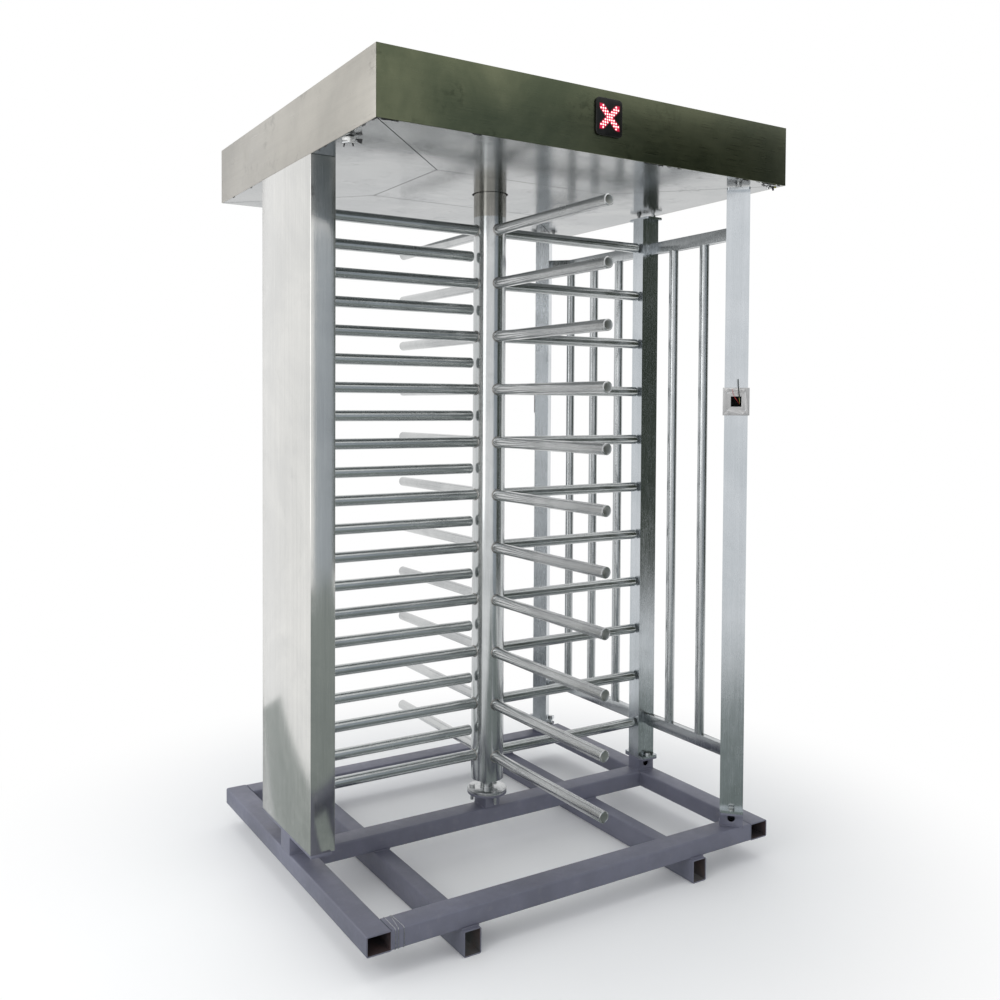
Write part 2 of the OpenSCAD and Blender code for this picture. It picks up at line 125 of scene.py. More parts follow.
def makeCords(cords):
    # short leads that stand out of the reader plate's opening; finished further down
    low, high = boxOf("reader_front")
    middle = (low + high) / 2
    side, out = Vector((0.70711, -0.70711, 0)), Vector((-0.70711, -0.70711, 0))
    made = {}
    for name, c in cords.items():
        (x0, z0), (x1, z1) = c["ends"]
        points = []
        for k in range(25):
            t = k / 24
            rise = t * t * (3 - 2 * t)
            away = c["out"] * math.sin(math.pi * min(1, t * 1.6) / 2) - 0.008 * (1 - t)
            points.append(middle + side * (x0 + (x1 - x0) * rise) + out * away + Vector((0, 0, z0 + (z1 - z0) * (0.15 * t + 0.85 * t ** 1.6))))
        cord = wireMesh(name, points, c["diameter"] / 2, False, "fitting_steel")
        made[name] = (cord, points[-1])
    return made

cords = makeCords(readerCords)

# ---------------------------------------------------------------- node helpers for the finishes
class Finish:
    # a small builder for one material's nodes
    def __init__(self, name):
        self.mat = bpy.data.materials.new(name)
        self.mat.use_nodes = True
        self.tree = self.mat.node_tree
        self.shader = self.tree.nodes["Principled BSDF"]
        self.coords = self.tree.nodes.new("ShaderNodeTexCoord").outputs["Object"]

    def node(self, kind, **values):
        made = self.tree.nodes.new("ShaderNode" + kind)
        for k, v in values.items():
            setattr(made, k, v)
        return made

    def link(self, a, b):
        self.tree.links.new(a, b)

    def stretched(self, scale, centre=(0, 0, 0), turn=(0, 0, 0)):
        m = self.node("Mapping")
        m.inputs["Location"].default_value = [-c * s for c, s in zip(centre, scale)]
        m.inputs["Rotation"].default_value = turn
        m.inputs["Scale"].default_value = scale
        self.link(self.coords, m.inputs["Vector"])
        return m.outputs["Vector"]

    def noise(self, scale, detail=4, rough=0.55, stretch=(1, 1, 1), distort=0, turn=(0, 0, 0)):
        n = self.node("TexNoise")
        n.inputs["Scale"].default_value = scale
        n.inputs["Detail"].default_value = detail
        n.inputs["Roughness"].default_value = rough
        n.inputs["Distortion"].default_value = distort
        self.link(self.stretched(stretch, turn=turn), n.inputs["Vector"])
        return n.outputs["Fac"]

    def spread(self, value, low, high, to0=0.0, to1=1.0, smooth=False):
        m = self.node("MapRange", interpolation_type="SMOOTHSTEP" if smooth else "LINEAR")
        for k, v in zip(("From Min", "From Max", "To Min", "To Max"), (low, high, to0, to1)):
            m.inputs[k].default_value = v
        self.link(value, m.inputs["Value"])
        return m.outputs["Result"]

    def maths(self, how, a, b=None):
        m = self.node("Math", operation=how)
        for k, v in enumerate((a, b)):
            if v is None:
                continue
            if isinstance(v, (int, float)):
                m.inputs[k].default_value = v
            else:
                self.link(v, m.inputs[k])
        return m.outputs[0]

    def mix(self, fac, a, b):
        m = self.node("Mix", data_type="RGBA")
        if isinstance(fac, (int, float)):
            m.inputs["Factor"].default_value = fac
        else:
            self.link(fac, m.inputs["Factor"])
        for socket, v in ((m.inputs[6], a), (m.inputs[7], b)):
            if isinstance(v, tuple):
                socket.default_value = (*v, 1)
            else:
                self.link(v, socket)
        return m.outputs[2]

    def axis(self, letter):
        s = self.node("SeparateXYZ")
        self.link(self.coords, s.inputs[0])
        return s.outputs[letter]

    def bump(self, height, strength, distance, onto=None):
        b = self.node("Bump")
        b.inputs["Strength"].default_value = strength
        b.inputs["Distance"].default_value = distance
        self.link(height, b.inputs["Height"])
        if onto is not None:
            self.link(onto, b.inputs["Normal"])
        return b.outputs["Normal"]

    def finish(self, colour=None, rough=None, normal=None, **fixed):
        for socket, v in (("Base Color", colour), ("Roughness", rough), ("Normal", normal)):
            if v is None:
                continue
            if isinstance(v, tuple):
                self.shader.inputs[socket].default_value = (*v, 1)
            elif isinstance(v, (int, float)):
                self.shader.inputs[socket].default_value = v
            else:
                self.link(v, self.shader.inputs[socket])
        for k, v in fixed.items():
            self.shader.inputs[k].default_value = v
        return self.mat

def brushedSteel(name, pale, dark, grain=(1, 1, 0.02), rough=(0.2, 0.34), waves=0.0, lowDarken=0.0,
                 lowDarkenTone=(0.16, 0.17, 0.15), lowDarkenHeight=(deckZ, deckZ + 0.5), streak=1.0, stain=0.0):
    # grain: how the brush lines are stretched; waves: how far the sheet ripples, in metres
    f = Finish(name)
    lines = f.noise(420, 3, 0.6, grain)
    broadLines = f.noise(60, 3, 0.6, grain)
    clouds = f.noise(2.6, 5, 0.6, distort=0.6)
    smears = f.noise(11, 5, 0.65, distort=0.4)
    tone = f.mix(f.spread(clouds, 0.34, 0.66, smooth=True), dark, pale)
    tone = f.mix(f.spread(broadLines, 0.3, 0.7, 0.0, 0.35 * streak), tone, tuple(c * 0.72 for c in dark))
    tone = f.mix(f.spread(lines, 0.42, 0.75, 0.0, 0.3 * streak), tone, tuple(min(1, c * 1.25) for c in pale))
    tone = f.mix(f.spread(smears, 0.62, 0.8, 0.0, 0.3), tone, tuple(c * 0.8 for c in dark))
    # darker towards the bottom, in patches
    if lowDarken:
        low = f.spread(f.axis("Z"), lowDarkenHeight[0], lowDarkenHeight[1], lowDarken, 0.0, smooth=True)
        patchy = f.maths("MULTIPLY", low, f.spread(f.noise(14, 6, 0.7), 0.3, 0.62))
        tone = f.mix(patchy, tone, lowDarkenTone)
    if stain:
        spots = f.maths("MULTIPLY", f.spread(f.noise(7, 3, 0.5), 0.56, 0.7), f.spread(f.noise(45, 4, 0.6), 0.48, 0.62))
        tone = f.mix(f.maths("MULTIPLY", spots, stain), tone, tuple(c * 0.55 for c in dark))
    roughness = f.maths("ADD", f.spread(lines, 0.25, 0.75, rough[0], rough[1]), f.spread(smears, 0.5, 0.85, 0.0, 0.1))
    normal = f.bump(lines, 0.18, 0.0004)
    if waves:
        normal = f.bump(f.noise(2.1, 1.5, 0.4), 1.0, waves, normal)
    return f.finish(tone, roughness, normal, Metallic=1.0)

def slatePaint(name, tone=(0.145, 0.149, 0.195), rustInside=False):
    f = Finish(name)
    clouds = f.noise(3.4, 5, 0.6)
    dust = f.noise(28, 6, 0.7)
    chips = f.noise(75, 5, 0.75, distort=0.3)
    scuffs = f.noise(34, 3, 0.6, (1, 1, 0.16), turn=(0.3, 0.2, 0.7))
    colour = f.mix(f.spread(clouds, 0.3, 0.7, smooth=True), tuple(c * 0.82 for c in tone), tuple(c * 1.16 for c in tone))
    colour = f.mix(f.spread(dust, 0.56, 0.8, 0.0, 0.42), colour, (0.24, 0.235, 0.24))
    colour = f.mix(f.spread(chips, 0.7, 0.76, 0.0, 0.7), colour, (0.33, 0.32, 0.31))
    colour = f.mix(f.spread(scuffs, 0.7, 0.78, 0.0, 0.35), colour, (0.3, 0.3, 0.34))
    if rustInside:
        rusty = f.mix(f.spread(f.noise(40, 6, 0.7), 0.35, 0.65), (0.075, 0.05, 0.045), (0.14, 0.075, 0.06))
        colour = f.mix(f.spread(f.noise(18, 4), 0.4, 0.6, 0.1, 0.5), colour, rusty)
    normal = f.bump(f.noise(190, 5, 0.6), 0.22, 0.0005)
    normal = f.bump(chips, 0.12, 0.0006, normal)
    return f.finish(colour, f.spread(dust, 0.3, 0.75, 0.38, 0.62), normal)

upright, across, deep = (1, 1, 0.02), (0.02, 1, 1), (1, 0.02, 1)
finishes = {
    "paint": slatePaint("slatePaint"),
    # tube bores: the darkened paint tone is painted shade; the rust patches in it are real
    "paintInside": slatePaint("shadedRustyTubeInside", (0.055, 0.052, 0.06), True),
    "cabinet": brushedSteel("cabinetSheet", (0.74, 0.735, 0.71), (0.64, 0.64, 0.625), upright, (0.09, 0.19), 0.0002, 0.3,
                            (0.3, 0.32, 0.3), (deckZ + 0.05, deckZ + 0.6), 0.6),
    "post": brushedSteel("postTube", (0.62, 0.65, 0.68), (0.52, 0.555, 0.585), upright, (0.16, 0.3), 0.0004, 0.5,
                         (0.28, 0.32, 0.31), (deckZ + 0.05, deckZ + 0.65), 0.7),
    "guard": brushedSteel("guardTube", (0.56, 0.58, 0.59), (0.44, 0.46, 0.47), upright, (0.16, 0.3)),
    "comb": brushedSteel("combTube", (0.6, 0.62, 0.615), (0.48, 0.5, 0.5), across, (0.15, 0.28), streak=0.6),
    "rotor": brushedSteel("rotorTube", (0.6, 0.615, 0.62), (0.48, 0.5, 0.505), upright, (0.12, 0.24), streak=0.7),
    "sleeve": brushedSteel("sleeveTube", (0.44, 0.43, 0.4), (0.32, 0.315, 0.29), upright, (0.16, 0.3)),
    "armX": brushedSteel("sideArmTube", (0.56, 0.58, 0.58), (0.44, 0.46, 0.46), across, (0.14, 0.26), streak=0.6),
    "armY": brushedSteel("frontArmTube", (0.6, 0.61, 0.61), (0.46, 0.47, 0.475), deep, (0.14, 0.26), streak=0.6),
    "plug": brushedSteel("armPlug", (0.42, 0.43, 0.41), (0.3, 0.31, 0.3), (1, 1, 1), (0.35, 0.5)),
    # front and rear fascias: the dark olive tone is partly the sheet's own tint and partly a painted reflection of dark
    # surroundings
    "fasciaX": brushedSteel("fasciaTintAndPaintedReflection", (0.165, 0.18, 0.112), (0.09, 0.108, 0.068), across, (0.24, 0.38), 0.001, streak=0.35, stain=0.6),
    "fasciaY": brushedSteel("sideFasciaSheet", (0.51, 0.49, 0.445), (0.42, 0.405, 0.37), deep, (0.26, 0.4), 0.0008, streak=0.45, stain=0.5),
    # soffit: its dark grey tone is painted shade and painted dull reflection under the canopy; its stains are real
    "soffit": brushedSteel("soffitSheetPaintedShade", (0.37, 0.38, 0.38), (0.28, 0.295, 0.3), across, (0.1, 0.22), 0.002, streak=0.3, stain=0.7),
    "plate": brushedSteel("readerPlate", (0.5, 0.5, 0.5), (0.42, 0.42, 0.425), (1, 1, 0.3), (0.36, 0.5), streak=0.4),
    "fitting": brushedSteel("fittingSteel", (0.62, 0.63, 0.63), (0.42, 0.43, 0.44), (1, 1, 1), (0.2, 0.36)),
    "weld": brushedSteel("weldBead", (0.44, 0.43, 0.41), (0.24, 0.235, 0.23), (1, 1, 1), (0.28, 0.45)),
}

def inkBlack(name, tone, rough):
    f = Finish(name)
    colour = f.mix(f.spread(f.noise(30, 4), 0.35, 0.7), tone, tuple(c * 2.1 + 0.004 for c in tone))
    return f.finish(colour, f.spread(f.noise(60, 4), 0.3, 0.7, rough, rough + 0.14), f.bump(f.noise(240, 3), 0.1, 0.0003))

finishes["blackPlastic"] = inkBlack("blackPlastic", (0.012, 0.012, 0.013), 0.34)
# black painted shade: used for the post bores, the hidden head frame and the sheet over the soffit
finishes["gap"] = inkBlack("paintedShadeBlack", (0.012, 0.012, 0.013), 0.7)
finishes["whitePlastic"] = inkBlack("whitePlastic", (0.4, 0.4, 0.39), 0.3)
finishes["redWire"] = inkBlack("redWire", (0.3, 0.02, 0.02), 0.4)
finishes["yellowWire"] = inkBlack("yellowWire", (0.26, 0.24, 0.04), 0.4)
finishes["cable"] = inkBlack("darkCable", (0.012, 0.02, 0.02), 0.45)

def signGlass(name, centre):
    # black cover with a painted crimson glow round the lit cross
    f = Finish(name)
    x = f.maths("ABSOLUTE", f.maths("SUBTRACT", f.axis("X"), centre.x))
    z = f.maths("ABSOLUTE", f.maths("SUBTRACT", f.axis("Z"), centre.z))
    off = f.maths("MULTIPLY", f.maths("ABSOLUTE", f.maths("SUBTRACT", x, z)), 0.7071)
    reach = f.maths("MAXIMUM", x, z)
    halo = f.spread(off, 0.0055, 0.0135, 1.0, 0.0, smooth=True)
    halo = f.maths("MULTIPLY", halo, f.spread(reach, 0.035, 0.041, 1.0, 0.0, smooth=True))
    halo = f.maths("MULTIPLY", halo, f.spread(f.noise(300, 2), 0.2, 0.8, 0.8, 1.1))
    f.link(halo, f.shader.inputs["Emission Strength"])
    colour = f.mix(f.spread(f.noise(40, 4), 0.3, 0.7), (0.008, 0.008, 0.008), (0.016, 0.016, 0.015))
    mat = f.finish(colour, f.spread(f.noise(90, 4), 0.3, 0.7, 0.16, 0.26), f.bump(f.noise(300, 3), 0.04, 0.0002),
                   **{"Specular IOR Level": 0.2})
    f.shader.inputs["Emission Color"].default_value = (0.78, 0.01, 0.07, 1)
    return mat

def lampGlow(name):
    f = Finish(name)
    f.link(f.mix(f.spread(f.noise(500, 2), 0.3, 0.7), (1.0, 0.7, 0.68), (1.0, 0.84, 0.8)), f.shader.inputs["Emission Color"])
    return f.finish((0.8, 0.25, 0.28), f.spread(f.noise(400, 2), 0.3, 0.7, 0.15, 0.3), f.bump(f.noise(700, 2), 0.05, 0.0002),
                    **{"Emission Strength": 1.5})

signCentre = (boxOf("sign_front")[0] + boxOf("sign_front")[1]) / 2
finishes["sign"] = signGlass("signCover", signCentre)
finishes["lamp"] = lampGlow("litLamp")
for name, (cord, tip) in cords.items():
    cord.data.materials.append(finishes[readerCords[name]["finish"]])
print("finishes made:", len(finishes))

# ---------------------------------------------------------------- frame nodes, merged and given their real edges
def merged(name):
    bm = bmesh.new()
    bm.from_mesh(nodes[name].data)
    bmesh.ops.remove_doubles(bm, verts=bm.verts, dist=2e-5)
    bmesh.ops.dissolve_limit(bm, angle_limit=math.radians(0.6), verts=bm.verts, edges=bm.edges, use_dissolve_boundaries=False)
    bmesh.ops.recalc_face_normals(bm, faces=bm.faces)
    return bm

def roundEdges(bm, width, segments=2, keep=None, angle=0.7):
    edges = [e for e in bm.edges if len(e.link_faces) == 2 and e.calc_face_angle(0) > angle and (keep is None or keep(e))]
    if edges:
        bmesh.ops.bevel(bm, geom=edges, offset=width, offset_type="OFFSET", segments=segments, profile=0.5,
                        affect="EDGES", clamp_overlap=True, material=-1)

def longEdge(length):
    return lambda e: e.calc_length() > length

def isInside(face, centre):
    # a tube wall that looks back at the tube's own middle line
    return (face.calc_center_median() - centre).dot(face.normal) < 0

def standIn(name, bm, body, slotName, *materials):
    shadeSmooth(bm)
    piece = addPiece(name + "_shown", bm, body, slotName, *materials)
    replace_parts(piece, name)
    return piece

def tubeFrame(name, corner=0.006):
    # beam or skid: rolled corners along its length; its bore is painted dark as shade, with rust patches
    bm = merged(name)
    low, high = boxOf(name)
    along = 0 if high.x - low.x > high.y - low.y else 1
    middle = (low + high) / 2
    for f in bm.faces:
        c = f.calc_center_median()
        m = middle.copy()
        m[along] = c[along]
        f.material_index = 1 if abs(f.normal[along]) < 0.5 and (c - m).dot(f.normal) < 0 else 0
    outer = [e for e in bm.edges if e.calc_length() > 0.4 and all(f.material_index == 0 for f in e.link_faces) and len(e.link_faces) == 2
             and e.calc_face_angle(0) > 1]
    bmesh.ops.bevel(bm, geom=outer, offset=corner, offset_type="OFFSET", segments=4, profile=0.5, affect="EDGES",
                    clamp_overlap=True, material=-1)
    standIn(name, bm, "stand", "frame_paint", finishes["paint"], finishes["paintInside"])

for name in ("beam_left", "beam_right", "beam_front", "beam_middle", "beam_rear", "skid_left", "skid_right"):
    tubeFrame(name)

def plainRounded(name, body, slotName, material, width, keep=None, segments=2):
    bm = merged(name)
    roundEdges(bm, width, segments, keep)
    standIn(name, bm, body, slotName, material)

for name in ("cabinet_pedestal", "rotor_pedestal", "front_pedestal", "middle_pedestal", "rear_pedestal"):
    plainRounded(name, "stand", "frame_paint", finishes["paint"], 0.0012)
plainRounded("cabinet", "stand", "brushed_steel", finishes["cabinet"], 0.003, longEdge(0.07), 3)
def postTube(name, corner=0.0045):
    # rolled corners outside; the bore walls get black painted shade
    bm = merged(name)
    low, high = boxOf(name)
    middle = (low + high) / 2
    for f in bm.faces:
        c = f.calc_center_median()
        inside = abs(f.normal.z) < 0.5 and Vector((c.x - middle.x, c.y - middle.y, 0)).dot(f.normal) < 0
        f.material_index = 1 if inside else 0
    roundEdges(bm, corner, 3, lambda e: e.calc_length() > 0.5 and all(f.material_index == 0 for f in e.link_faces))
    standIn(name, bm, "stand", "brushed_steel", finishes["post"], finishes["gap"])

for name in ("front_post", "middle_post", "rear_post"):
    postTube(name)
for name in ("front_guard", "rear_guard"):
    plainRounded(name, "stand", "brushed_steel", finishes["guard"], 0.002, longEdge(0.02), 2)
for name in ("fascia_front", "fascia_rear"):
    plainRounded(name, "stand", "canopy_steel", finishes["fasciaX"], 0.0012, longEdge(0.15), 2)
for name in ("fascia_left", "fascia_right"):
    plainRounded(name, "stand", "canopy_steel", finishes["fasciaY"], 0.0012, longEdge(0.15), 2)
for name in ("foot_flange",):
    plainRounded(name, "stand", "fitting_steel", finishes["fitting"], 0.001)
for name in ("reader_front", "reader_rear"):
    plainRounded(name, "stand", "fitting_steel", finishes["plate"], 0.0004)
for name in ("sign_front", "sign_rear"):
    plainRounded(name, "stand", "sign_black", finishes["sign"], 0.0025, None, 3)
print("frame pieces rounded")

def paintNode(name, material):
    slots = nodes[name].data.materials
    if slots:
        for k in range(len(slots)):
            slots[k] = material
    else:
        slots.append(material)

for name in ("soffit_front", "soffit_rear", "soffit_left", "soffit_right", "soffit_centre"):
    paintNode(name, finishes["soffit"])
paintNode("lid", finishes["fasciaY"])
# painted shade: the hidden head frame is coloured black
paintNode("head_frame", finishes["gap"])
paintNode("comb", finishes["comb"])
for name in ("foot_bolts", "head_bolts"):
    paintNode(name, finishes["fitting"])
for name in ("rotor_column", "rotor_spindle"):
    paintNode(name, finishes["rotor"])
paintNode("rotor_sleeve", finishes["sleeve"])

lampShape = {"radius": 0.0029, "height": 0.0016}

def lampDomes(name, way):
    # one low dome on each lamp's place
    source = merged(name)
    left, places = set(source.verts), []
    while left:
        island, todo = [], [left.pop()]
        while todo:
            v = todo.pop()
            island.append(v.co)
            for e in v.link_edges:
                o = e.other_vert(v)
                if o in left:
                    left.remove(o)
                    todo.append(o)
        places.append(sum(island, Vector()) / len(island))
    source.free()
    low, high = boxOf(name)
    face = high.y if way < 0 else low.y
    bm = bmesh.new()
    for c in places:
        made = bmesh.ops.create_uvsphere(bm, u_segments=10, v_segments=6, radius=lampShape["radius"])["verts"]
        bmesh.ops.scale(bm, verts=made, vec=(1, lampShape["height"] / lampShape["radius"], 1))
        bmesh.ops.translate(bm, verts=made, vec=(c.x, face, c.z))
    for f in bm.faces:
        f.smooth = True
    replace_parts(addPiece(name + "_domes", bm, "stand", "lamp_red", finishes["lamp"]), name)

lampDomes("lamps_front", -1)
lampDomes("lamps_rear", 1)

def paintedShadeSheet():
    # painted shade: a black sheet over the soffit panels, so their seams and the collar opening read dark
    bm = bmesh.new()
    halfX, halfY, hole = rightX - 0.006, rearY - 0.006, columnR + 0.0012
    made = bmesh.ops.create_circle(bm, segments=64, radius=hole, cap_ends=False)
    out = bmesh.ops.extrude_edge_only(bm, edges=list(bm.edges))
    for v in (g for g in out["geom"] if isinstance(g, bmesh.types.BMVert)):
        v.co *= min(halfX / max(abs(v.co.x), 1e-6), halfY / max(abs(v.co.y), 1e-6))
    bmesh.ops.translate(bm, verts=bm.verts, vec=(0, 0, boxOf("soffit_centre")[1].z + 0.0008))
    bmesh.ops.recalc_face_normals(bm, faces=bm.faces)
    bmesh.ops.solidify(bm, geom=list(bm.faces), thickness=0.0006)
    addPiece("painted_shade_sheet", bm, "stand", "inner_steel", finishes["gap"])

paintedShadeSheet()

# ---------------------------------------------------------------- rotor arms: rim and recessed end plug
armShape = {"rim": 0.0016, "recess": 0.0009, "edge": 0.0012}

def wing(name, material):
    bm = merged(name)
    low, high = boxOf(name)
    reach = max(abs(v) for v in (low.x, low.y, high.x, high.y))
    tips = [f for f in bm.faces if len(f.verts) > 8 and max(abs(f.calc_center_median().x), abs(f.calc_center_median().y)) > reach - 0.01]
    rims = [e for f in tips for e in f.edges]
    bmesh.ops.bevel(bm, geom=rims, offset=armShape["edge"], offset_type="OFFSET", segments=2, profile=0.5, affect="EDGES",
                    clamp_overlap=True, material=-1)
    tips = [f for f in bm.faces if len(f.verts) > 8 and max(abs(f.calc_center_median().x), abs(f.calc_center_median().y)) > reach - 0.01]
    bmesh.ops.inset_individual(bm, faces=tips, thickness=armShape["rim"], depth=-armShape["recess"])
    for f in tips:
        f.material_index = 1
    standIn(name, bm, "rotor", "rotor_steel", material, finishes["plug"])

for name in ("wing_left", "wing_right"):
    wing(name, finishes["armX"])
for name in ("wing_front", "wing_rear"):
    wing(name, finishes["armY"])
print("wings made")

# ---------------------------------------------------------------- welds
weldShape = {"bead": 0.0024, "armR": 0.019, "ripple": 0.22}

def ringBead(bm, centre, direction, radius, bead, saddle=0.0, steps=40):
    # a ring of weld round a tube; saddle bends it onto an upright column of that radius
    ring = bmesh.ops.create_circle(bm, segments=6, radius=bead, cap_ends=False)
    bmesh.ops.rotate(bm, verts=ring["verts"], cent=(0, 0, 0), matrix=Matrix.Rotation(math.pi / 2, 3, "X"))
    bmesh.ops.translate(bm, verts=ring["verts"], vec=(radius, 0, 0))
    before = set(bm.verts) - set(ring["verts"])
    edges = list({e for v in ring["verts"] for e in v.link_edges})
    bmesh.ops.spin(bm, geom=edges, cent=(0, 0, 0), axis=(0, 0, 1), dvec=(0, 0, 0), angle=2 * math.pi, steps=steps,
                   use_merge=True, use_duplicate=False)
    new = [v for v in bm.verts if v not in before]
    turn = Vector((0, 0, 1)).rotation_difference(direction).to_matrix()
    for v in new:
        a = math.atan2(v.co.y, v.co.x)
        swell = 1 + weldShape["ripple"] * 0.5 * math.sin(a * 26)
        rim = Vector((math.cos(a) * radius, math.sin(a) * radius, 0))
        v.co = rim + (v.co - rim) * swell
    bmesh.ops.rotate(bm, verts=new, cent=(0, 0, 0), matrix=turn)
    if saddle:
        side = direction.cross(Vector((0, 0, 1)))
        for v in new:
            s = v.co.dot(side)
            v.co += direction * (math.sqrt(max(saddle * saddle - s * s, 0)) - saddle)
    bmesh.ops.translate(bm, verts=new, vec=centre)
    return new

def armWelds(name, wingName, direction):
    bm = bmesh.new()
    low, high = boxOf(wingName)
    count = 11
    pitch = (high.z - low.z - 2 * weldShape["armR"]) / (count - 1)
    for k in range(count):
        z = low.z + weldShape["armR"] + pitch * k
        ringBead(bm, direction * columnR + Vector((0, 0, z)), direction, weldShape["armR"] + 0.0008, weldShape["bead"], columnR)
    bmesh.ops.recalc_face_normals(bm, faces=bm.faces)
    shadeSmooth(bm, 1.2)
    addPiece(name, bm, "rotor", "rotor_steel", finishes["weld"])

armWelds("welds_arm_left", "wing_left", Vector((-1, 0, 0)))
armWelds("welds_arm_right", "wing_right", Vector((1, 0, 0)))
armWelds("welds_arm_front", "wing_front", Vector((0, -1, 0)))
armWelds("welds_arm_rear", "wing_rear", Vector((0, 1, 0)))

def combWelds():
    bm = bmesh.new()
    low, high = boxOf("comb")
    pitch = (high.z - low.z - 2 * weldShape["armR"]) / 9
    for k in range(10):
        z = low.z + weldShape["armR"] + pitch * k
        ringBead(bm, Vector((low.x, 0, z)), Vector((1, 0, 0)), weldShape["armR"] + 0.0006, weldShape["bead"] * 0.8)
    bmesh.ops.recalc_face_normals(bm, faces=bm.faces)
    shadeSmooth(bm, 1.2)
    addPiece("welds_comb", bm, "stand", "brushed_steel", finishes["weld"])

combWelds()

def seam(bm, start, end, bead=0.0026):
    # a straight run of weld with its ripples
    start, end = Vector(start), Vector(end)
    way = end - start
    count = max(4, int(way.length / 0.0042))
    turn = Vector((0, 0, 1)).rotation_difference(way.normalized()).to_matrix()
    ring = bmesh.ops.create_circle(bm, segments=6, radius=bead * 0.6, cap_ends=True)
    verts = ring["verts"]
    bmesh.ops.rotate(bm, verts=verts, cent=(0, 0, 0), matrix=turn)
    bmesh.ops.translate(bm, verts=verts, vec=start)
    face = next(f for f in verts[0].link_faces)
    size = 0.6
    for k in range(1, count + 1):
        grown = bmesh.ops.extrude_discrete_faces(bm, faces=[face])
        face = grown["faces"][0]
        verts = list(face.verts)
        middle = face.calc_center_median()
        want = 0.6 if k == count else (1.0 + weldShape["ripple"] * (0.5 if k % 2 else -0.5) + dice.uniform(-0.06, 0.06))
        bmesh.ops.translate(bm, verts=verts, vec=way / count)
        middle = middle + way / count
        for v in verts:
            v.co = middle + (v.co - middle) * (want / size)
        size = want

def frameWelds():
    bm = bmesh.new()
    inL, inR = boxOf("beam_left")[1].x, boxOf("beam_right")[0].x
    outL, outR = boxOf("beam_left")[0].x, boxOf("beam_right")[1].x
    skidTop = boxOf("skid_left")[1].z
    for beam in ("beam_front", "beam_middle", "beam_rear"):
        low, high = boxOf(beam)
        for x in (inL, inR):
            seam(bm, (x, low.y + 0.004, deckZ - 0.0004), (x, high.y - 0.004, deckZ - 0.0004), 0.0016)
            for y in (low.y, high.y):
                outside = (beam == "beam_front" and y == low.y) or (beam == "beam_rear" and y == high.y)
                seam(bm, (x, y + (0.0004 if y == low.y else -0.0004), low.z + 0.005), (x, y + (0.0004 if y == low.y else -0.0004), high.z - 0.005),
                     0.0014 if outside else 0.0024)
        for skid in ("skid_left", "skid_right"):
            sLow, sHigh = boxOf(skid)
            for x in (sLow.x, sHigh.x):
                seam(bm, (x, low.y, skidTop), (x, high.y, skidTop), 0.0024)
            for y in (low.y, high.y):
                seam(bm, (sLow.x, y, skidTop), (sHigh.x, y, skidTop), 0.0024)
    low, high = boxOf("cabinet_pedestal")
    for x, y0, y1 in ((low.x + 0.0032, -0.04, 0.04), (low.x + 0.0794, -0.04, 0.04)):
        seam(bm, (x, y0, deckZ), (x, y1, deckZ), 0.0022)
    for y in (-0.04, 0.04):
        seam(bm, (low.x + 0.004, y, deckZ), (low.x + 0.078, y, deckZ), 0.0024)
    for x in (-0.03, 0.03):
        seam(bm, (x, -0.04, deckZ), (x, 0.04, deckZ), 0.0026)
    for y in (-0.04, 0.04):
        seam(bm, (-0.03, y, deckZ), (0.03, y, deckZ), 0.0018)
    for centre, angle in (((0.658, -0.594), -45), ((0.658, 0.594), 45), ((0.746, 0), 0)):
        turn = Matrix.Rotation(math.radians(angle), 3, "Z")
        corners = [turn @ Vector((sx * 0.04, sy * 0.03, 0)) + Vector((*centre, deckZ)) for sx, sy in ((-1, -1), (1, -1), (1, 1), (-1, 1))]
        for a, b in zip(corners, corners[1:] + corners[:1]):
            a = Vector((min(a.x, rightX - 0.004), a.y, a.z))
            b = Vector((min(b.x, rightX - 0.004), b.y, b.z))
            seam(bm, a, b, 0.0024)
    bmesh.ops.recalc_face_normals(bm, faces=bm.faces)
    shadeSmooth(bm, 1.2)
    addPiece("welds_frame", bm, "stand", "frame_paint", finishes["paint"])

frameWelds()
print("welds made")

# ---------------------------------------------------------------- small fittings
def block(bm, centre, size, turn=0.0, edge=0.0012, tilt=0.0, index=0):
    made = bmesh.ops.create_cube(bm, size=1)["verts"]
    bmesh.ops.scale(bm, verts=made, vec=size)
    edges = list({e for v in made for e in v.link_edges})
    got = bmesh.ops.bevel(bm, geom=edges, offset=edge, offset_type="OFFSET", segments=2, profile=0.5, affect="EDGES",
                          clamp_overlap=True, material=-1)
    verts = list({v for f in got["faces"] for v in f.verts})
    for f in {f for v in verts for f in v.link_faces}:
        f.material_index = index
    bmesh.ops.rotate(bm, verts=verts, cent=(0, 0, 0), matrix=Matrix.Rotation(turn, 3, "Z") @ Matrix.Rotation(tilt, 3, "X"))
    bmesh.ops.translate(bm, verts=verts, vec=centre)

def rod(bm, start, end, radius, tip=None, index=0, sides=14):
    start, end = Vector(start), Vector(end)
    way = end - start
    made = bmesh.ops.create_cone(bm, cap_ends=True, segments=sides, radius1=radius, radius2=radius if tip is None else tip,
                                 depth=way.length)["verts"]
    rims = [e for e in {e for v in made for e in v.link_edges} if e.calc_face_angle(0) > 1]
    bmesh.ops.rotate(bm, verts=made, cent=(0, 0, 0), matrix=Vector((0, 0, 1)).rotation_difference(way.normalized()).to_matrix())
    bmesh.ops.translate(bm, verts=made, vec=(start + end) / 2)
    for f in {f for v in made for f in v.link_faces}:
        f.material_index = index
    bmesh.ops.bevel(bm, geom=rims, offset=radius * 0.12, offset_type="OFFSET", segments=2, profile=0.5, affect="EDGES",
                    clamp_overlap=True, material=-1)

latchShape = {"place": (-0.768, -0.462), "drop": 0.010}

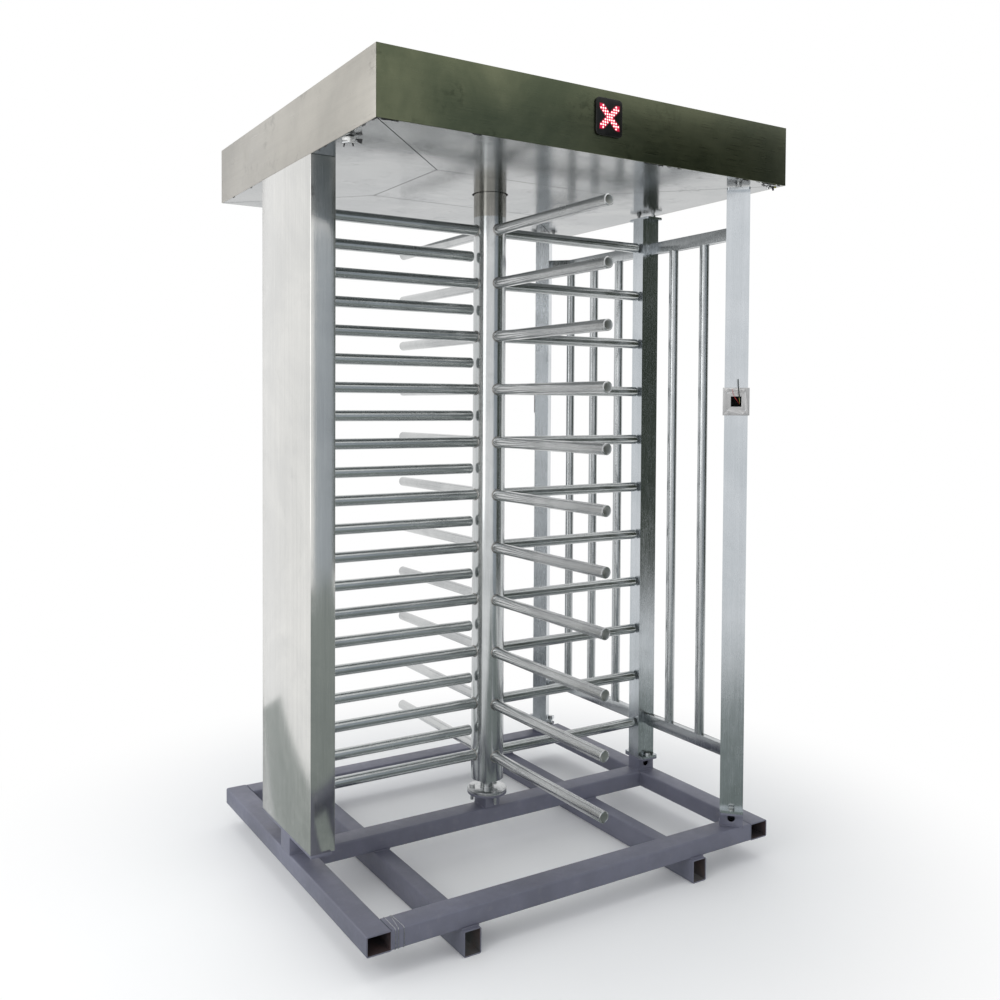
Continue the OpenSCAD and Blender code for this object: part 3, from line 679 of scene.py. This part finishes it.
def canopyLatch(s):
    # clip that holds the soffit panel: pale body, bright bar, black finger and two pins
    x, y = s["place"]
    z = soffitZ - s["drop"]
    bm = bmesh.new()
    block(bm, (x, y, z + 0.004), (0.024, 0.034, 0.011), 0.3, 0.0025, 0.1, 0)
    block(bm, (x - 0.004, y - 0.02, z - 0.004), (0.022, 0.014, 0.012), 0.6, 0.002, 0.4, 0)
    rod(bm, (x - 0.012, y + 0.018, z - 0.004), (x + 0.02, y - 0.014, z - 0.002), 0.0035, None, 1)
    rod(bm, (x + 0.01, y - 0.004, z + 0.003), (x + 0.036, y - 0.012, z - 0.001), 0.003, 0.0085, 2, 3)
    rod(bm, (x - 0.006, y + 0.016, z), (x - 0.008, y + 0.02, z - 0.016), 0.003, 0.002, 2)
    rod(bm, (x + 0.014, y + 0.008, z), (x + 0.016, y + 0.006, z - 0.014), 0.003, 0.002, 2)
    bmesh.ops.recalc_face_normals(bm, faces=bm.faces)
    shadeSmooth(bm)
    addPiece("canopy_latch", bm, "stand", "fitting_steel", finishes["whitePlastic"], finishes["fitting"], finishes["blackPlastic"])

canopyLatch(latchShape)

screwShape = {"radius": 0.0032, "height": 0.0018, "across": 0.029, "up": 0.0405}

def plateScrews(name, way, s):
    # four low pan heads on a reader plate
    low, high = boxOf(name)
    middle = (low + high) / 2
    side = Vector((0.70711, -0.70711, 0)) if way.y < 0 else Vector((0.70711, 0.70711, 0))
    bm = bmesh.new()
    for sx in (-1, 1):
        for sz in (-1, 1):
            foot = middle + side * sx * s["across"] + Vector((0, 0, sz * s["up"])) + way * 0.0013
            rod(bm, foot, foot + way * s["height"], s["radius"], s["radius"] * 0.6, 0, 12)
    bmesh.ops.recalc_face_normals(bm, faces=bm.faces)
    shadeSmooth(bm)
    addPiece(name + "_screws", bm, "stand", "fitting_steel", finishes["fitting"])

plateScrews("reader_front", Vector((-0.70711, -0.70711, 0)), screwShape)
plateScrews("reader_rear", Vector((-0.70711, 0.70711, 0)), screwShape)

def cornerClamp(x, y):
    # clamp under the fascia's front corner
    z = soffitZ - 0.006
    bm = bmesh.new()
    block(bm, (x, y, z), (0.03, 0.012, 0.008), 0.2, 0.0015, 0.1, 0)
    rod(bm, (x - 0.012, y - 0.002, z + 0.003), (x - 0.012, y - 0.002, z - 0.01), 0.005, None, 0, 6)
    rod(bm, (x + 0.012, y - 0.002, z + 0.003), (x + 0.014, y - 0.003, z - 0.012), 0.0045, 0.003, 1)
    block(bm, (x + 0.022, y - 0.001, z + 0.001), (0.012, 0.006, 0.006), -0.3, 0.001, 0.2, 2)
    block(bm, (x - 0.03, y, z + 0.002), (0.022, 0.008, 0.004), 0.4, 0.001, 0.0, 1)
    bmesh.ops.recalc_face_normals(bm, faces=bm.faces)
    shadeSmooth(bm)
    addPiece("corner_clamp", bm, "stand", "fitting_steel", finishes["fitting"], finishes["blackPlastic"], finishes["yellowWire"])

cornerClamp(0.735, frontY + 0.022)

filmShape = {"spots": (-0.776, -0.755, -0.73, -0.47, 0.16, 0.19, 0.22, 0.255, 0.3, 0.56, 0.6, 0.66, 0.7, 0.76),
             "sideSpots": (-0.67, -0.6, -0.33, -0.28, 0.05, 0.35, 0.55)}

def filmBits(s):
    # torn scraps of dark protective film left along the fascias' lower edges
    bm = bmesh.new()
    for side, spots in ((0, s["spots"]), (1, s["sideSpots"])):
        for t in spots:
            made = bmesh.ops.create_grid(bm, x_segments=7, y_segments=2, size=0.5)["verts"]
            length, width = dice.uniform(0.012, 0.034), dice.uniform(0.002, 0.005)
            for v in made:
                v.co.x *= length
                v.co.y = v.co.y * width * dice.uniform(0.4, 1.5)
                v.co.z = dice.uniform(-0.0012, 0.0008)
            bmesh.ops.rotate(bm, verts=made, cent=(0, 0, 0), matrix=Matrix.Rotation(dice.uniform(0.9, 1.5), 3, "X"))
            if side:
                bmesh.ops.rotate(bm, verts=made, cent=(0, 0, 0), matrix=Matrix.Rotation(math.pi / 2, 3, "Z"))
            place = (leftX + 0.005, t, soffitZ - 0.0012) if side else (t, frontY + 0.005, soffitZ - 0.0012)
            bmesh.ops.translate(bm, verts=made, vec=place)
    bmesh.ops.recalc_face_normals(bm, faces=bm.faces)
    bmesh.ops.solidify(bm, geom=list(bm.faces), thickness=0.0004)
    addPiece("film_bits", bm, "stand", "canopy_steel", finishes["blackPlastic"])

filmBits(filmShape)

tieShape = {"wire": 0.0008, "loops": ((-0.699, 0.0), (-0.690, 0.012), (-0.672, -0.004))}

def tieWires(s):
    # loops of binding wire round the front beam's left end
    low, high = boxOf("beam_front")
    r = s["wire"]
    for k, (x, lean) in enumerate(s["loops"]):
        y0, y1, z0, z1 = low.y - r, high.y + r, low.z - r, high.z + r
        c, points = 0.006, []
        for cy, cz, start in ((y1 - c, z1 - c, 0), (y0 + c, z1 - c, 90), (y0 + c, z0 + c, 180), (y1 - c, z0 + c, 270)):
            for a in (0, 30, 60, 90):
                t = math.radians(start + a)
                y, z = cy + c * math.cos(t), cz + c * math.sin(t)
                points.append((x + lean * (y - y0) / (y1 - y0), y, z))
        wireMesh("tie_wire_%d" % (k + 1), points, r, True, "fitting_steel", finishes["fitting"])

tieWires(tieShape)
print("small fittings made")

# ---------------------------------------------------------------- studio
studio = {"floorTone": (0.94, 0.94, 0.94), "whiteFrom": 0.85, "whiteTo": 2.1, "worldLevel": 0.8}

def makeFloor(s):
    bm = bmesh.new()
    bmesh.ops.create_grid(bm, x_segments=4, y_segments=4, size=30)
    mesh = bpy.data.meshes.new("floor")
    bm.to_mesh(mesh)
    bm.free()
    floor = bpy.data.objects.new("floor", mesh)
    scene.collection.objects.link(floor)
    mat = bpy.data.materials.new("floorPale")
    mat.use_nodes = True
    tree = mat.node_tree
    new, link = tree.nodes.new, tree.links.new
    shader = tree.nodes["Principled BSDF"]
    shader.inputs["Base Color"].default_value = (*s["floorTone"], 1)
    shader.inputs["Roughness"].default_value = 0.9
    shader.inputs["Specular IOR Level"].default_value = 0.0
    glow = new("ShaderNodeEmission")
    coords = new("ShaderNodeTexCoord")
    far = new("ShaderNodeVectorMath")
    far.operation = "LENGTH"
    link(coords.outputs["Object"], far.inputs[0])
    ramp = new("ShaderNodeMapRange")
    ramp.interpolation_type = "SMOOTHSTEP"
    ramp.inputs["From Min"].default_value, ramp.inputs["From Max"].default_value = s["whiteFrom"], s["whiteTo"]
    link(far.outputs["Value"], ramp.inputs["Value"])
    path = new("ShaderNodeLightPath")
    seen = new("ShaderNodeMath")
    seen.operation = "MAXIMUM"
    link(path.outputs["Is Camera Ray"], seen.inputs[0])
    other = new("ShaderNodeMath")
    other.operation = "MAXIMUM"
    link(path.outputs["Is Glossy Ray"], other.inputs[0])
    link(path.outputs["Is Transmission Ray"], other.inputs[1])
    link(other.outputs[0], seen.inputs[1])
    share = new("ShaderNodeMath")
    share.operation = "MULTIPLY"
    link(seen.outputs[0], share.inputs[0])
    link(ramp.outputs["Result"], share.inputs[1])
    blend = new("ShaderNodeMixShader")
    link(share.outputs[0], blend.inputs[0])
    link(shader.outputs[0], blend.inputs[1])
    link(glow.outputs[0], blend.inputs[2])
    link(blend.outputs[0], tree.nodes["Material Output"].inputs["Surface"])
    mesh.materials.append(mat)

def makeWorld(s):
    world = bpy.data.worlds.new("studio")
    scene.world = world
    world.use_nodes = True
    tree = world.node_tree
    new, link = tree.nodes.new, tree.links.new
    plain = tree.nodes["Background"]
    plain.inputs["Color"].default_value = (0.96, 0.98, 1.0, 1)
    plain.inputs["Strength"].default_value = s["worldLevel"]
    white = new("ShaderNodeBackground")
    white.inputs["Color"].default_value = (1, 1, 1, 1)
    white.inputs["Strength"].default_value = 1.0
    path = new("ShaderNodeLightPath")
    a, b = new("ShaderNodeMath"), new("ShaderNodeMath")
    a.operation = b.operation = "MAXIMUM"
    link(path.outputs["Is Camera Ray"], a.inputs[0])
    link(path.outputs["Is Glossy Ray"], a.inputs[1])
    link(a.outputs[0], b.inputs[0])
    link(path.outputs["Is Transmission Ray"], b.inputs[1])
    blend = new("ShaderNodeMixShader")
    link(b.outputs[0], blend.inputs[0])
    link(plain.outputs[0], blend.inputs[1])
    link(white.outputs[0], blend.inputs[2])
    link(blend.outputs[0], tree.nodes["World Output"].inputs["Surface"])

def softLamp(name, place, aim, size, watts, tint=(1, 1, 1)):
    data = bpy.data.lights.new(name, "AREA")
    data.shape, data.size, data.size_y, data.energy, data.color = "RECTANGLE", size[0], size[1], watts, tint
    lamp = bpy.data.objects.new(name, data)
    lamp.location = place
    lamp.rotation_euler = (Vector(aim) - Vector(place)).to_track_quat("-Z", "Y").to_euler()
    lamp.visible_camera = False
    scene.collection.objects.link(lamp)

def darkFlag(name, place, aim, size, tone):
    # a studio flag that only reflections show
    bm = bmesh.new()
    bmesh.ops.create_grid(bm, x_segments=2, y_segments=2, size=0.5)
    bmesh.ops.scale(bm, verts=bm.verts, vec=(size[0], size[1], 1))
    turn = (Vector(aim) - Vector(place)).to_track_quat("Z", "Y").to_matrix()
    bmesh.ops.rotate(bm, verts=bm.verts, cent=(0, 0, 0), matrix=turn)
    bmesh.ops.translate(bm, verts=bm.verts, vec=place)
    mesh = bpy.data.meshes.new(name)
    bm.to_mesh(mesh)
    bm.free()
    mat = bpy.data.materials.new(name + "Cloth")
    mat.use_nodes = True
    glow = mat.node_tree.nodes.new("ShaderNodeEmission")
    glow.inputs["Color"].default_value = (*tone, 1)
    mat.node_tree.links.new(glow.outputs[0], mat.node_tree.nodes["Material Output"].inputs["Surface"])
    mesh.materials.append(mat)
    flag = bpy.data.objects.new(name, mesh)
    scene.collection.objects.link(flag)
    flag.visible_camera = flag.visible_diffuse = flag.visible_shadow = flag.visible_transmission = False

makeFloor(studio)
makeWorld(studio)
softLamp("keyLeft", (-3.4, -0.5, 2.1), (0, 0, 1.2), (3.2, 2.8), 46)
softLamp("overhead", (0.0, 0.0, 5.2), (0, 0, 0), (4.0, 4.0), 38)
darkFlag("flagRight", (3.4, -3.2, 1.7), (0.0, 0.0, 1.3), (4.0, 4.8), (0.055, 0.065, 0.05))
darkFlag("flagMiddle", (1.15, -4.4, 1.6), (0.3, 0.0, 1.3), (2.2, 4.6), (0.42, 0.46, 0.5))
darkFlag("flagFront", (0.35, -2.4, 0.004), (0.35, -2.4, 3.0), (3.2, 4.2), (0.26, 0.29, 0.28))
darkFlag("flagLow", (-1.05, 0.6, 0.004), (-1.05, 0.6, 3.0), (0.44, 2.6), (0.4, 0.43, 0.42))
scene.view_settings.view_transform = "Standard"
print("studio set")
